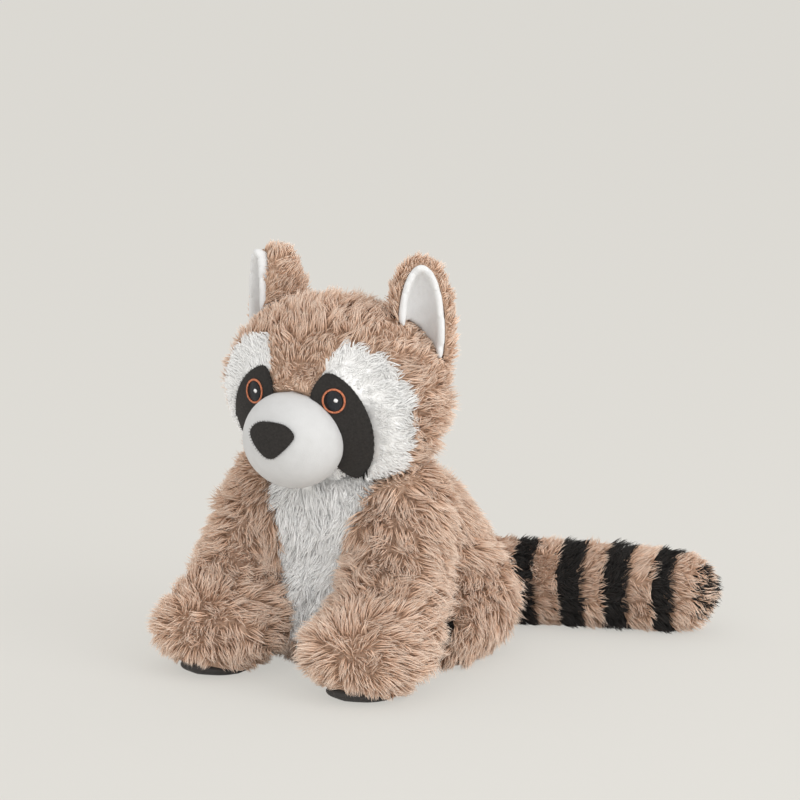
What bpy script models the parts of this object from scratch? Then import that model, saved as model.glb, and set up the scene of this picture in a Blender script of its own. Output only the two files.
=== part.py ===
"""A sitting raccoon plush toy that holds a heatable grain pouch.

Metres, +Z up. The toy faces -Y and sits on the floor plane z = 0, with the
origin in the middle of its seat. Its own left side is +X. Every furred panel is
a solid as thick as its pile and backing cloth, cut to its neighbours' seams.
"""

import math

import bmesh
import bpy
import numpy as np
from mathutils import Matrix, Vector
from mathutils.bvhtree import BVHTree

# Clearances and cloths
GAP = 0.0003
PILE = 0.008
SUEDE_STEP = 0.0040
THREAD = 0.0009

# Torso, measured over the fur
TORSO_HEIGHT = 0.122
SEAT_HALF_WIDTH = 0.056
SEAT_HALF_DEPTH = 0.060
HIP_HEIGHT = 0.030
HIP_HALF_WIDTH = 0.072
HIP_HALF_DEPTH = 0.076
HIP_BACK = 0.004
BELLY_HEIGHT = 0.062
BELLY_HALF_WIDTH = 0.067
BELLY_HALF_DEPTH = 0.066
BELLY_FORWARD = 0.002
CHEST_HEIGHT = TORSO_HEIGHT - 0.030
CHEST_HALF_WIDTH = 0.056
CHEST_HALF_DEPTH = 0.054
CHEST_FORWARD = 0.016
NECK_HALF_WIDTH = 0.040
NECK_HALF_DEPTH = 0.034
NECK_FORWARD = 0.033
SEAT_PANEL_HEIGHT = 0.007
POUCH_TOP = 0.060

# Bib on the chest
BIB_HALF_WIDTH = 0.033
BIB_TIP_HALF_WIDTH = 0.011
BIB_WAIST_HEIGHT = 0.062
BIB_TIP_HEIGHT = 0.014

# Head, measured over the fur, pressed down on the neck
HEAD_HALF_WIDTH = 0.070
HEAD_HALF_DEPTH = 0.046
HEAD_HALF_HEIGHT = 0.054
HEAD_SINK = 0.022
HEAD_OVERHANG = 0.012

# Face, in the front view, from the middle of the head
STRIPE_TOP_HALF_WIDTH = 0.024
STRIPE_FOOT_HALF_WIDTH = 0.0135
CHEEK_TOP_RISE = 0.036
CHEEK_INSET = 0.006
CHEEK_DROP = 0.050
MASK_TOP_RISE = 0.018
MASK_HALF_WIDTH = 0.0445
MASK_DROP = 0.043
EYE_SPACING = 0.052
EYE_RISE = 0.0045
EYE_RADIUS = 0.0067
EYE_RING_WIDTH = 0.0012
EYE_SEGMENTS = 20
CATCHLIGHT_RADIUS = 0.0011
CATCHLIGHT_SIDE = 0.0014
CATCHLIGHT_RISE = 0.0004
MUZZLE_HALF_WIDTH = 0.030
MUZZLE_HALF_DEPTH = 0.023
MUZZLE_HALF_HEIGHT = 0.027
MUZZLE_SINK = 0.0053
MUZZLE_DROP = 0.020
NOSE_HALF_WIDTH = 0.0143
NOSE_HEIGHT = 0.0195
NOSE_THICKNESS = 0.0012
NOSE_RISE = 0.0035

# Ears, from the top corners of the head
EAR_HEIGHT = 0.0555
EAR_HALF_WIDTH = 0.0175
EAR_HALF_DEPTH = 0.018
EAR_INSET = 0.0225
EAR_BACK = 0.0115
EAR_TUCK = 0.0335
EAR_FOOT = 0.010
EAR_TURN = math.radians(38)
EAR_RIM = 0.0055
EAR_TOP_RIM = 0.0025
EAR_TUFT_SHARE = 0.5
LINING_THICKNESS = 0.0022

# Front legs and paws
SHOULDER_INSET = 0.014
SHOULDER_RISE = 0.002
SHOULDER_FORWARD = 0.024
SHOULDER_RADIUS = 0.027
PAW_SPREAD = 0.048
PAW_REACH = 0.082
PAW_HALF_WIDTH = 0.040
PAW_HEIGHT = 0.051
PAW_PAD_HALF_WIDTH = 0.020
PAW_PAD_HALF_LENGTH = 0.032
PAW_PAD_HEIGHT = 0.011

# Hind legs
HIND_INSET = 0.016
HIND_REACH = 0.040
HIND_LENGTH = 0.076
HIND_HALF_WIDTH = 0.028
HIND_HEIGHT = 0.062
SOLE_HALF_WIDTH = 0.017
SOLE_HALF_HEIGHT = 0.021

# Tail
TAIL_LENGTH = 0.150
TAIL_RADIUS = 0.0262
TAIL_TIP_RADIUS = 0.0245
TAIL_TURN = math.radians(27)
TAIL_BEND = math.radians(10)
TAIL_SIDE = 0.016
TAIL_SINK = 0.017
TAIL_BLACK_SHARES = (0.073, 0.095, 0.099, 0.077)
TAIL_BROWN_SHARES = (0.098, 0.081, 0.099, 0.107)
TAIL_TIP_SHARE = 0.067

# Facets and fur relief
FACET = 0.0150
COARSE_FACET = 0.026
TUFT_HEIGHT = 0.0058
TUFT_LEAN = 0.0030
TUFT_WAVE = 0.0037
TUFT_CLEARANCE = 0.0010
TUFT_FACE_MIN = 0.000024

HEAD_RADII = Vector((HEAD_HALF_WIDTH, HEAD_HALF_DEPTH, HEAD_HALF_HEIGHT))
HEAD_MIDDLE = Vector((0.0, -NECK_FORWARD - HEAD_OVERHANG, TORSO_HEIGHT - HEAD_SINK + HEAD_HALF_HEIGHT))
MUZZLE_RADII = Vector((MUZZLE_HALF_WIDTH, MUZZLE_HALF_DEPTH, MUZZLE_HALF_HEIGHT))
MUZZLE_MIDDLE = HEAD_MIDDLE + Vector((0.0, MUZZLE_SINK - HEAD_HALF_DEPTH, -MUZZLE_DROP))
SIDES = (("left", 1), ("right", -1))


def clear_scene():
    for old in list(bpy.data.objects):
        bpy.data.objects.remove(old, do_unlink=True)


def keep(bm, name):
    """Put a bmesh into the scene as an object of plain triangles."""
    bmesh.ops.triangulate(bm, faces=bm.faces)
    bmesh.ops.recalc_face_normals(bm, faces=bm.faces)
    mesh = bpy.data.meshes.new(name)
    bm.to_mesh(mesh)
    bm.free()
    obj = bpy.data.objects.new(name, mesh)
    bpy.context.scene.collection.objects.link(obj)
    return obj


def discard(*objects):
    for obj in objects:
        bpy.data.objects.remove(obj, do_unlink=True)


def duplicate(obj, name="copy"):
    twin = bpy.data.objects.new(name, obj.data.copy())
    bpy.context.scene.collection.objects.link(twin)
    return twin


def grown(obj, distance, name="grown"):
    """A copy whose faces all stand the given distance further out."""
    bm = bmesh.new()
    bm.from_mesh(obj.data)
    bm.normal_update()
    moves = [v.normal * distance * v.calc_shell_factor() for v in bm.verts]
    for vert, move in zip(bm.verts, moves):
        vert.co += move
    return keep(bm, name)


def combine(obj, other, operation):
    """Boolean of two objects, worked out at once in the first one's mesh."""
    modifier = obj.modifiers.new("cut", "BOOLEAN")
    modifier.operation = operation
    modifier.solver = "EXACT"
    modifier.object = other
    other.hide_render = True
    other.display_type = "WIRE"
    graph = bpy.context.evaluated_depsgraph_get()
    mesh = bpy.data.meshes.new_from_object(obj.evaluated_get(graph))
    obj.modifiers.clear()
    obj.data = mesh
    return obj


def cut(obj, *cutters):
    """Take the cutters away from the object, with the gap all round them."""
    for cutter in cutters:
        wide = grown(cutter, GAP)
        combine(obj, wide, "DIFFERENCE")
        discard(wide)
    return obj


def shared(obj, other, name):
    return combine(duplicate(obj, name), other, "INTERSECT")


def box(name, low, high):
    low, high = Vector(low), Vector(high)
    bm = bmesh.new()
    place = Matrix.Translation((low + high) / 2) @ Matrix.Diagonal((high - low).to_4d())
    place[3][3] = 1.0
    bmesh.ops.create_cube(bm, size=1.0, matrix=place)
    return keep(bm, name)


def ellipsoid(name, middle, radii, detail, turn=None):
    """A cube cut into even quads, blown up to a ball and stretched."""
    bm = bmesh.new()
    bmesh.ops.create_cube(bm, size=2.0)
    bmesh.ops.subdivide_edges(bm, edges=bm.edges, cuts=detail - 1, use_grid_fill=True)
    for vert in bm.verts:
        warped = Vector([math.tan(c * math.pi / 4) for c in vert.co])
        vert.co = warped.normalized()
    bmesh.ops.scale(bm, vec=radii, verts=bm.verts)
    if turn is not None:
        bmesh.ops.transform(bm, matrix=turn.to_4x4(), verts=bm.verts)
    bmesh.ops.translate(bm, vec=middle, verts=bm.verts)
    return keep(bm, name)


def catmull_rom(points, steps):
    """Smooth rows through the inner points of the list."""
    rows = []
    for a, b, c, d in zip(points, points[1:], points[2:], points[3:]):
        for step in range(steps):
            t = step / steps
            bend = t * (2 * a - 5 * b + 4 * c - d + t * (3 * (b - c) + d - a))
            rows.append(b + 0.5 * t * (c - a + bend))
    return rows


def even_rows(stations, spacing):
    """Rows through the stations, an even spacing apart along the skin."""
    points = [np.array(s, dtype=float) for s in stations]
    points = [2 * points[0] - points[1]] + points + [2 * points[-1] - points[-2]]
    rows = np.array(catmull_rom(points, 12) + [points[-2]])
    travel = np.concatenate([[0.0], np.cumsum(np.linalg.norm(np.diff(rows, axis=0), axis=1))])
    marks = np.linspace(0.0, travel[-1], max(3, round(travel[-1] / spacing)) + 1)
    return np.array([np.interp(marks, travel, column) for column in rows.T]).T


def loft(name, stations, facet, across=Vector((1, 0, 0)), upright=False):
    """Skin a row of ellipses, each given as x, y, z, half width and half height.

    Rings stand square to the path, or all lie level where upright is set.
    """
    rows = even_rows(stations, facet)
    widest = max(max(row[3], row[4]) for row in rows)
    segments = 2 * round(math.pi * widest / facet)
    bm = bmesh.new()
    rings = []
    for i, row in enumerate(rows):
        ahead = Vector((rows[min(i + 1, len(rows) - 1)] - rows[max(i - 1, 0)])[:3])
        along = Vector((0, 0, 1)) if upright else ahead.normalized()
        side = (across - across.dot(along) * along).normalized()
        rise = along.cross(side)
        place = Matrix.Identity(4)
        for axis, vector in enumerate((side * row[3], rise * row[4], along, Vector(row[:3]))):
            place.col[axis][:3] = vector
        made = bmesh.ops.create_circle(bm, segments=segments, radius=1.0, matrix=place)
        rings.append(list(dict.fromkeys(edge for v in made["verts"] for edge in v.link_edges)))
    for lower, upper in zip(rings, rings[1:]):
        bmesh.ops.bridge_loops(bm, edges=lower + upper)
    for end in (rings[0], rings[-1]):
        bmesh.ops.contextual_create(bm, geom=end)
    return keep(bm, name)


def prism(name, outline, near, far, middle):
    """A front-view outline of x and z about a middle, carried back along Y."""
    bm = bmesh.new()
    verts = [bm.verts.new((middle.x + x, near, middle.z + z)) for x, z in outline]
    face = bm.faces.new(verts)
    made = bmesh.ops.extrude_face_region(bm, geom=[face])
    tops = [item for item in made["geom"] if isinstance(item, bmesh.types.BMVert)]
    bmesh.ops.translate(bm, vec=(0, far - near, 0), verts=tops)
    return keep(bm, name)


def rounded(points, steps=3):
    """A closed smooth outline through the points."""
    loop = [np.array(p, dtype=float) for p in points]
    return [tuple(p) for p in catmull_rom([loop[-1], *loop, loop[0], loop[1]], steps)]


def mirrored(outline, sign):
    return [(sign * x, z) for x, z in outline]


def torso_form(name, wall, facet):
    """The bag of the body, at the fur or a wall's thickness inside it."""
    stations = [
        (0.000, 0.000, SEAT_HALF_WIDTH, SEAT_HALF_DEPTH),
        (HIP_HEIGHT * 0.35, HIP_BACK, HIP_HALF_WIDTH * 0.95, HIP_HALF_DEPTH * 0.95),
        (HIP_HEIGHT, HIP_BACK, HIP_HALF_WIDTH, HIP_HALF_DEPTH),
        (BELLY_HEIGHT, -BELLY_FORWARD, BELLY_HALF_WIDTH, BELLY_HALF_DEPTH),
        (CHEST_HEIGHT, -CHEST_FORWARD, CHEST_HALF_WIDTH, CHEST_HALF_DEPTH),
        (TORSO_HEIGHT - HEAD_SINK * 0.5, -NECK_FORWARD, NECK_HALF_WIDTH, NECK_HALF_DEPTH),
        (TORSO_HEIGHT, -NECK_FORWARD, NECK_HALF_WIDTH * 0.6, NECK_HALF_DEPTH * 0.6),
    ]
    squeeze = (TORSO_HEIGHT - 2 * wall) / TORSO_HEIGHT
    rows = [(0.0, y, wall + z * squeeze, w - wall, d - wall) for z, y, w, d in stations]
    return loft(name, rows, facet, upright=True)


def head_form(name, wall, detail):
    return ellipsoid(name, HEAD_MIDDLE, HEAD_RADII - Vector((wall, wall, wall)), detail)


def muzzle_form(name, extra=0.0):
    return ellipsoid(name, MUZZLE_MIDDLE, MUZZLE_RADII + Vector((extra, extra, extra)), 8)


def bib_outline():
    waist = (BIB_HALF_WIDTH + BIB_TIP_HALF_WIDTH) * 0.62
    half = [
        (BIB_HALF_WIDTH * 0.80, TORSO_HEIGHT + PILE),
        (BIB_HALF_WIDTH, (TORSO_HEIGHT + BIB_WAIST_HEIGHT) * 0.5),
        (waist, BIB_WAIST_HEIGHT),
        (BIB_TIP_HALF_WIDTH * 1.25, BIB_TIP_HEIGHT + BIB_HALF_WIDTH * 0.6),
        (BIB_TIP_HALF_WIDTH * 0.6, BIB_TIP_HEIGHT),
    ]
    return half + [(-x, z) for x, z in reversed(half)]


def build_torso(bag):
    filling = torso_form("fibre_filling", PILE, COARSE_FACET)
    cover = cut(duplicate(bag, "cover"), filling)

    low = box("low", (-1, -1, -1), (1, 1, SEAT_PANEL_HEIGHT))
    base = shared(cover, low, "seat_panel")
    cut(cover, low)

    window = prism("window", bib_outline(), -1.0, -CHEST_FORWARD, Vector())
    bib = shared(cover, window, "chest_bib")
    cut(cover, window)

    halves = {1: box("half", (0, -1, -1), (1, 1, 1)), -1: box("half", (-1, -1, -1), (0, 1, 1))}
    panels = [cut(duplicate(cover, "body_panel_" + side), halves[-sign]) for side, sign in SIDES]

    top = box("top", (-1, -1, POUCH_TOP), (1, 1, 1))
    pouch = cut(duplicate(filling, "grain_pouch"), top)
    combine(filling, top, "INTERSECT")
    discard(cover, window, top, low, *halves.values())
    return [*panels, bib, base, filling, pouch]


def cheek_outline():
    wide = HEAD_HALF_WIDTH - CHEEK_INSET
    arc = [(0.76, 0.73), (0.94, 0.36), (1.00, -0.02), (0.95, -0.45), (0.72, -0.82), (0.45, -1.0)]
    outer = [(wide * x, (CHEEK_TOP_RISE if z > 0 else CHEEK_DROP) * z) for x, z in arc]
    return [
        (STRIPE_TOP_HALF_WIDTH, CHEEK_TOP_RISE),
        *outer,
        (GAP / 2, -CHEEK_DROP),
        (GAP / 2, -MUZZLE_DROP),
        (STRIPE_FOOT_HALF_WIDTH, EYE_RISE),
        (STRIPE_FOOT_HALF_WIDTH * 1.22, MASK_TOP_RISE),
    ]


def mask_outline():
    wide = MASK_HALF_WIDTH
    inner = STRIPE_FOOT_HALF_WIDTH
    return rounded([
        (inner * 1.48, MASK_TOP_RISE),
        (wide * 0.72, MASK_TOP_RISE * 0.72),
        (wide * 0.93, MASK_TOP_RISE * 0.05),
        (wide, -MASK_DROP * 0.34),
        (wide * 0.88, -MASK_DROP * 0.72),
        (wide * 0.58, -MASK_DROP),
        (wide * 0.44, -MASK_DROP * 0.80),
        (wide * 0.40, -MASK_DROP * 0.40),
        (inner * 0.93, EYE_RISE - EYE_RADIUS * 0.6),
        (inner * 0.93, EYE_RISE + EYE_RADIUS * 0.6),
    ])


def nose_outline():
    half = NOSE_HALF_WIDTH
    tall = NOSE_HEIGHT
    return rounded([
        (0.0, tall * 0.50),
        (half * 0.62, tall * 0.44),
        (half, tall * 0.18),
        (half * 0.80, -tall * 0.12),
        (half * 0.30, -tall * 0.45),
        (0.0, -tall * 0.52),
        (-half * 0.30, -tall * 0.45),
        (-half * 0.80, -tall * 0.12),
        (-half, tall * 0.18),
        (-half * 0.62, tall * 0.44),
    ])


def shell(name, outer, inner):
    """The wall between two forms, one inside the other."""
    return combine(duplicate(outer, name), inner, "DIFFERENCE")


def eye_tube(name, sign, radius, side=0.0, rise=0.0):
    """A round bar through the eye, square to the head's face there."""
    x = sign * EYE_SPACING / 2 + side
    z = EYE_RISE + rise
    flat = Vector((x / HEAD_HALF_WIDTH, 0.0, z / HEAD_HALF_HEIGHT))
    depth = HEAD_HALF_DEPTH * math.sqrt(1.0 - flat.length_squared)
    spot = Vector((x, -depth, z))
    normal = Vector([c / (r * r) for c, r in zip(spot, HEAD_RADII)]).normalized()
    place = Matrix.Translation(HEAD_MIDDLE + spot) @ normal.to_track_quat("Z", "Y").to_matrix().to_4x4()
    bm = bmesh.new()
    bmesh.ops.create_cone(bm, cap_ends=True, segments=EYE_SEGMENTS, radius1=radius,
                          radius2=radius, depth=4 * PILE, matrix=place)
    return keep(bm, name)


def build_eye(side, sign, suede, muzzle):
    """Ring, pupil and catchlight, stitched flat on the suede patch."""
    low = grown(suede, GAP)
    high = grown(suede, GAP + THREAD)
    thread = shell("thread", high, low)
    top = grown(suede, 2 * GAP + THREAD)
    peak = grown(suede, 2 * GAP + 2 * THREAD)
    glint = shell("glint", peak, top)
    bar = eye_tube("bar", sign, EYE_RADIUS)
    core = eye_tube("core", sign, EYE_RADIUS - EYE_RING_WIDTH)
    plug = eye_tube("plug", sign, EYE_RADIUS - EYE_RING_WIDTH - GAP)
    spark = eye_tube("spark", sign, CATCHLIGHT_RADIUS, CATCHLIGHT_SIDE, CATCHLIGHT_RISE)
    half = box("half", (-1, -1, -1), (1, HEAD_MIDDLE.y, 1))
    for band in (thread, glint):
        combine(band, half, "INTERSECT")
    ring = shared(thread, bar, "eye_ring_" + side)
    combine(ring, core, "DIFFERENCE")
    cut(ring, muzzle)
    pupil = shared(thread, plug, "pupil_" + side)
    catchlight = shared(glint, spark, "catchlight_" + side)
    discard(low, high, thread, top, peak, glint, bar, core, plug, spark, half)
    return [ring, pupil, catchlight]


def build_head(bag, head):
    """Brown cover, white cheeks, sunk suede patches, muzzle and nose."""
    core = head_form("head_filling", PILE, 5)
    inner = grown(core, GAP)
    muzzle = muzzle_form("muzzle")
    suede = head_form("suede", SUEDE_STEP, 12)
    skin = cut(shell("skin", suede, inner), bag, muzzle)
    cover = cut(shell("head_cover", head, inner), bag, muzzle)
    pieces = []
    for side, sign in SIDES:
        mask = mirrored(mask_outline(), sign)
        cheek = mirrored(cheek_outline(), sign)
        mask_area = prism("mask_area", mask, -1.0, HEAD_MIDDLE.y, HEAD_MIDDLE)
        cheek_area = prism("cheek_area", cheek, -1.0, HEAD_MIDDLE.y + PILE, HEAD_MIDDLE)
        pieces.append(shared(skin, mask_area, "eye_patch_" + side))
        cut(cover, mask_area)
        pieces.append(shared(cover, cheek_area, "cheek_" + side))
        cut(cover, cheek_area)
        pieces += build_eye(side, sign, suede, muzzle)
        discard(mask_area, cheek_area)
    cut(muzzle, core, bag)
    low = muzzle_form("low", GAP)
    nose_middle = MUZZLE_MIDDLE + Vector((0.0, 0.0, NOSE_RISE))
    nose_area = prism("nose_area", nose_outline(), -1.0, MUZZLE_MIDDLE.y, nose_middle)
    nose = shell("nose", muzzle_form("high", GAP + NOSE_THICKNESS), low)
    combine(nose, nose_area, "INTERSECT")
    cut(core, bag)
    discard(inner, suede, skin, nose_area, low, bpy.data.objects["high"])
    return [cover, core, muzzle, nose, *pieces]


def build_ear(side, sign, head):
    """A cupped leaf of pile with a thin smooth lining in its hollow."""
    rise = HEAD_HALF_HEIGHT - EAR_TUCK
    seat = HEAD_MIDDLE + Vector((sign * (HEAD_HALF_WIDTH - EAR_INSET), EAR_BACK, rise))
    facing = Vector((sign * math.sin(EAR_TURN), -math.cos(EAR_TURN), 0.0))
    turn = Matrix.Rotation(sign * EAR_TURN, 3, "Z")
    middle = seat + Vector((0.0, 0.0, EAR_HEIGHT * 0.30))
    leaf = Vector((EAR_HALF_WIDTH, EAR_HALF_DEPTH, EAR_HEIGHT * 0.70))
    rim = Vector((EAR_RIM, 0.0, EAR_TOP_RIM))
    wall = Vector((LINING_THICKNESS, LINING_THICKNESS, LINING_THICKNESS))
    mouth = middle + facing * EAR_HALF_DEPTH * 0.62
    back = ellipsoid("ear_back_" + side, middle, leaf, 6, turn)
    lining = ellipsoid("ear_lining_" + side, mouth, leaf - rim, 6, turn)
    bowl = ellipsoid("bowl", mouth, leaf - rim - wall, 6, turn)
    front = box("front", (-1, -2, -1), (1, 0, 1))
    front.data.transform(turn.to_4x4())
    front.data.transform(Matrix.Translation(mouth))
    foot = box("foot", (-1, -1, -1), (1, 1, seat.z - EAR_FOOT))
    cut(back, lining, head, foot)
    combine(back, front, "DIFFERENCE")
    cut(lining, head, foot)
    for waste in (bowl, front):
        combine(lining, waste, "DIFFERENCE")
    discard(bowl, front, foot)
    return [back, lining]


def front_leg_form(name, sign):
    """A stuffed arm from the shoulder down to a broad paw on the floor."""
    shoulder = Vector((CHEST_HALF_WIDTH - SHOULDER_INSET, -CHEST_FORWARD - SHOULDER_FORWARD,
                       CHEST_HEIGHT + SHOULDER_RISE))
    toe = shoulder.y - PAW_REACH
    round_arm = SHOULDER_RADIUS
    wide = PAW_HALF_WIDTH
    level = PAW_HEIGHT * 0.46
    stations = [
        (shoulder.x - round_arm * 0.22, shoulder.y + round_arm * 0.52, shoulder.z + round_arm * 0.37,
         round_arm * 0.7, round_arm * 0.7),
        (shoulder.x, shoulder.y, shoulder.z, round_arm, round_arm),
        (PAW_SPREAD, toe + PAW_REACH * 0.76, shoulder.z * 0.60, round_arm * 1.08, round_arm * 1.07),
        (PAW_SPREAD, toe + PAW_REACH * 0.61, PAW_HEIGHT * 0.62, wide * 0.86, round_arm * 1.05),
        (PAW_SPREAD, toe + PAW_REACH * 0.42, level, wide, wide * 0.68),
        (PAW_SPREAD, toe + PAW_REACH * 0.21, level, wide * 0.90, wide * 0.60),
        (PAW_SPREAD, toe + PAW_REACH * 0.06, level, wide * 0.60, wide * 0.40),
        (PAW_SPREAD, toe, level, wide * 0.22, wide * 0.15),
    ]
    rows = [(sign * x, y, z, w, h) for x, y, z, w, h in stations]
    return loft(name, rows, FACET)


def hind_leg_form(name, sign):
    """A stub leg laid forward at the side of the seat, its sole upright."""
    spread = HIP_HALF_WIDTH - HIND_INSET
    half = HIND_HALF_WIDTH
    tall = HIND_HEIGHT / 2
    back = HIND_LENGTH - HIND_REACH
    stations = [
        (spread - half * 0.43, back, tall * 1.02, half * 0.60, tall * 0.60),
        (spread - half * 0.29, back - HIND_LENGTH * 0.18, tall * 1.02, half * 0.93, tall * 0.93),
        (spread - half * 0.07, back - HIND_LENGTH * 0.45, tall, half, tall * 1.02),
        (spread, back - HIND_LENGTH * 0.75, tall * 0.95, half * 0.94, tall * 0.98),
        (spread, back - HIND_LENGTH * 0.93, tall * 0.92, half * 0.78, tall * 0.80),
        (spread, back - HIND_LENGTH, tall * 0.92, half * 0.42, tall * 0.44),
    ]
    rows = [(sign * x, y, z, w, h) for x, y, z, w, h in stations]
    return loft(name, rows, FACET)


def build_legs(bag, head, floor):
    pieces = []
    toe = -CHEST_FORWARD - SHOULDER_FORWARD - PAW_REACH
    for side, sign in SIDES:
        leg = front_leg_form("front_leg_" + side, sign)
        hind = hind_leg_form("hind_leg_" + side, sign)
        combine(leg, floor, "DIFFERENCE")
        combine(hind, floor, "DIFFERENCE")
        pad_middle = Vector((sign * PAW_SPREAD, toe + PAW_PAD_HALF_LENGTH + GAP, -PAW_PAD_HEIGHT * 0.09))
        pad_radii = Vector((PAW_PAD_HALF_WIDTH, PAW_PAD_HALF_LENGTH, PAW_PAD_HEIGHT))
        pad_area = ellipsoid("pad_area", pad_middle, pad_radii, 5)
        pad = cut(shared(leg, pad_area, "front_paw_pad_" + side), bag)
        cut(leg, pad_area, bag, head)
        sole_middle = Vector((sign * (HIP_HALF_WIDTH - HIND_INSET), -HIND_REACH, HIND_HEIGHT * 0.46))
        sole_radii = Vector((SOLE_HALF_WIDTH, PILE, SOLE_HALF_HEIGHT))
        sole_area = ellipsoid("sole_area", sole_middle, sole_radii, 4)
        sole = cut(shared(hind, sole_area, "hind_paw_pad_" + side), bag, leg)
        cut(hind, sole_area, bag, leg)
        pieces += [leg, pad, hind, sole]
        discard(pad_area, sole_area)
    return pieces


def tail_point(distance):
    """Middle of the tail seen from above, and its heading, from the root."""
    share = distance / TAIL_LENGTH
    angle = TAIL_TURN + TAIL_BEND * (0.5 - share)
    root = Vector((TAIL_SIDE, HIP_BACK + HIP_HALF_DEPTH - TAIL_SINK, 0.0))
    spot = root + distance * Vector((math.cos(angle), math.sin(angle), 0.0))
    return spot, TAIL_TURN + TAIL_BEND * (0.5 - 2 * share)


def tail_form(name):
    shares = (0.0, 0.12, 0.35, 0.60, 0.82, 0.93, 0.98, 1.0)
    swell = (0.92, 1.0, 1.0, 1.0, 0.99, 0.88, 0.62, 0.26)
    stations = []
    for share, size in zip(shares, swell):
        spot, _ = tail_point(share * TAIL_LENGTH)
        radius = TAIL_RADIUS + share * (TAIL_TIP_RADIUS - TAIL_RADIUS)
        stations.append((spot.x, spot.y, radius - GAP, radius * size, radius * size))
    return loft(name, stations, FACET, across=Vector((0, 0, 1)))


def seam_wall(distance, side):
    """A block that fills everything on one side of a seam across the tail."""
    spot, angle = tail_point(distance)
    reach = (-GAP / 2, 1.0) if side > 0 else (-1.0, GAP / 2)
    wall = box("seam_wall", (reach[0], -1, -1), (reach[1], 1, 1))
    wall.data.transform(Matrix.Rotation(angle, 4, "Z"))
    wall.data.transform(Matrix.Translation(spot))
    return wall


def build_tail(bag, floor):
    """One stuffed tube, sewn from rings of black and brown fur."""
    tail = tail_form("tail")
    combine(tail, floor, "DIFFERENCE")
    cut(tail, bag)
    rings = sum(TAIL_BLACK_SHARES) + sum(TAIL_BROWN_SHARES)
    names = ["tail_base"]
    seams = [0.0, TAIL_LENGTH * (1.0 - rings - TAIL_TIP_SHARE)]
    for number, shares in enumerate(zip(TAIL_BLACK_SHARES, TAIL_BROWN_SHARES), 1):
        for colour, share in zip(("black", "brown"), shares):
            names.append("tail_%s_%d" % (colour, number))
            seams.append(seams[-1] + TAIL_LENGTH * share)
    names.append("tail_tip")
    seams.append(TAIL_LENGTH)
    pieces = []
    for name, start, end in zip(names, seams, seams[1:]):
        piece = duplicate(tail, name)
        if start > 0.0:
            combine(piece, seam_wall(start, -1), "DIFFERENCE")
            discard(bpy.data.objects["seam_wall"])
        if end < TAIL_LENGTH:
            combine(piece, seam_wall(end, 1), "DIFFERENCE")
            discard(bpy.data.objects["seam_wall"])
        pieces.append(piece)
    discard(tail)
    return pieces


BROWN = (0.440, 0.305, 0.228)
BLACK_FUR = (0.030, 0.025, 0.023)
WHITE_FUR = (0.740, 0.735, 0.720)
WHITE_VELOUR = (0.700, 0.690, 0.660)
BLACK_SUEDE = (0.036, 0.031, 0.028)
BLACK_CLOTH = (0.050, 0.045, 0.042)
ORANGE_THREAD = (0.330, 0.105, 0.040)
BLACK_THREAD = (0.022, 0.022, 0.026)
WHITE_THREAD = (0.800, 0.800, 0.800)
FIBRE = (0.800, 0.790, 0.760)
POUCH_COTTON = (0.640, 0.600, 0.500)

FINISHES = {
    "body_panel": ("brown_fur", BROWN, 0.95),
    "seat_panel": ("brown_fur", BROWN, 0.95),
    "head_cover": ("brown_fur", BROWN, 0.95),
    "ear_back": ("brown_fur", BROWN, 0.95),
    "front_leg": ("brown_fur", BROWN, 0.95),
    "hind_leg": ("brown_fur", BROWN, 0.95),
    "tail_base": ("brown_fur", BROWN, 0.95),
    "tail_brown": ("brown_fur", BROWN, 0.95),
    "tail_black": ("black_fur", BLACK_FUR, 0.90),
    "tail_tip": ("black_fur", BLACK_FUR, 0.90),
    "hind_paw_pad": ("black_fur", BLACK_FUR, 0.90),
    "chest_bib": ("white_fur", WHITE_FUR, 0.95),
    "cheek": ("white_fur", WHITE_FUR, 0.95),
    "muzzle": ("white_velour", WHITE_VELOUR, 0.85),
    "ear_lining": ("white_velour", WHITE_VELOUR, 0.85),
    "eye_patch": ("black_suede", BLACK_SUEDE, 0.90),
    "nose": ("black_suede", BLACK_SUEDE, 0.90),
    "front_paw_pad": ("black_cloth", BLACK_CLOTH, 0.80),
    "eye_ring": ("orange_thread", ORANGE_THREAD, 0.45),
    "pupil": ("black_thread", BLACK_THREAD, 0.40),
    "catchlight": ("white_thread", WHITE_THREAD, 0.45),
    "fibre_filling": ("polyester_fibre", FIBRE, 0.95),
    "head_filling": ("polyester_fibre", FIBRE, 0.95),
    "grain_pouch": ("cotton_pouch", POUCH_COTTON, 0.90),
}
FURRED = ("brown_fur", "black_fur", "white_fur")


def finish_of(obj):
    for stem, finish in FINISHES.items():
        if obj.name.startswith(stem):
            return finish
    raise KeyError(obj.name)


def drop_crumbs(bm):
    """Keep only the largest body of the mesh."""
    largest = set()
    reached = set()
    for start in bm.verts:
        if start in reached:
            continue
        body = {start}
        front = [start]
        while front:
            near = {edge.other_vert(v) for v in front for edge in v.link_edges}
            front = list(near - body)
            body |= near
        reached |= body
        if len(body) > len(largest):
            largest = body
    crumbs = [v for v in bm.verts if v not in largest]
    bmesh.ops.delete(bm, geom=crumbs, context="VERTS")


def weld(obj):
    """Close up the slivers that the cuts leave."""
    bm = bmesh.new()
    bm.from_mesh(obj.data)
    bmesh.ops.remove_doubles(bm, verts=bm.verts, dist=0.00002)
    bmesh.ops.dissolve_degenerate(bm, edges=bm.edges, dist=0.00002)
    drop_crumbs(bm)
    bmesh.ops.dissolve_limit(bm, angle_limit=math.radians(0.8), verts=bm.verts, edges=bm.edges)
    bmesh.ops.triangulate(bm, faces=bm.faces)
    bmesh.ops.recalc_face_normals(bm, faces=bm.faces)
    bm.to_mesh(obj.data)
    bm.free()


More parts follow.
